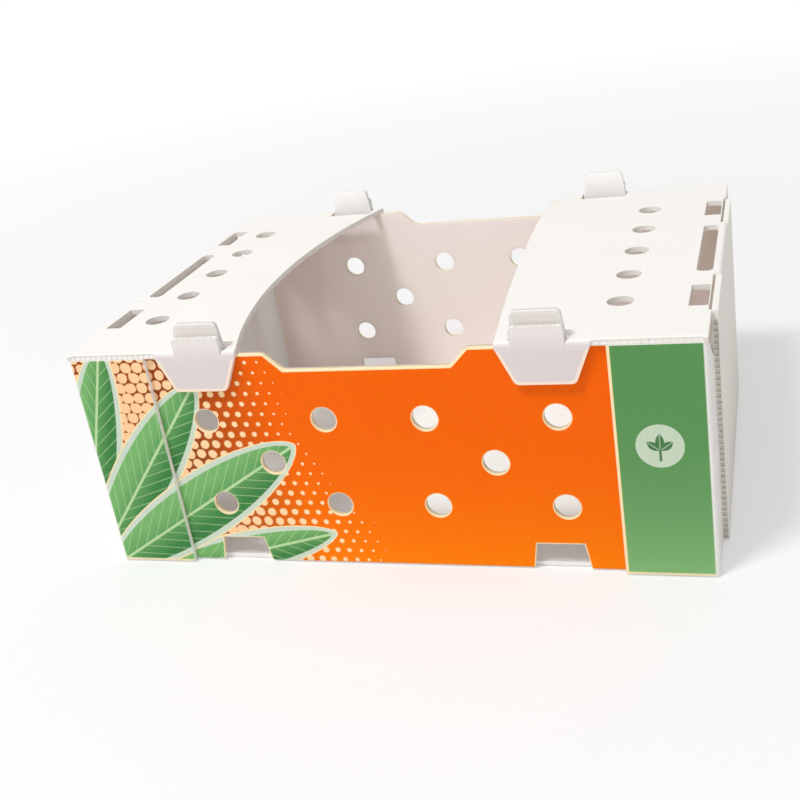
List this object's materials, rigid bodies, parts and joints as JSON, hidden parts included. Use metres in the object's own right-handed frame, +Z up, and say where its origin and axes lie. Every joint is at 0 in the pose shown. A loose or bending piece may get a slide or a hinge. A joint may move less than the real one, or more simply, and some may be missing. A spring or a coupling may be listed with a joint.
{
  "type": "stackable produce box",
  "caption": "Low stackable produce box of fluted plastic sheet, with open middle, end shelves with a hand slot, air holes, stacking tabs and notches under them.",
  "frame": {"origin": "middle of the underside, on the ground", "axes": "+Z up, X along the long walls with the right end at +X, -Y towards the printed front wall"},
  "size_m": [0.4, 0.3, 0.168],
  "materials": {
    "printed_sheet": "fluted polypropylene sheet, printed in orange and green outside, plain white inside",
    "white_sheet": "plain white fluted polypropylene sheet"
  },
  "bodies": {
    "root": {"tray": "printed_sheet", "end_left": "white_sheet", "end_right": "white_sheet"}
  },
  "joints": []
}
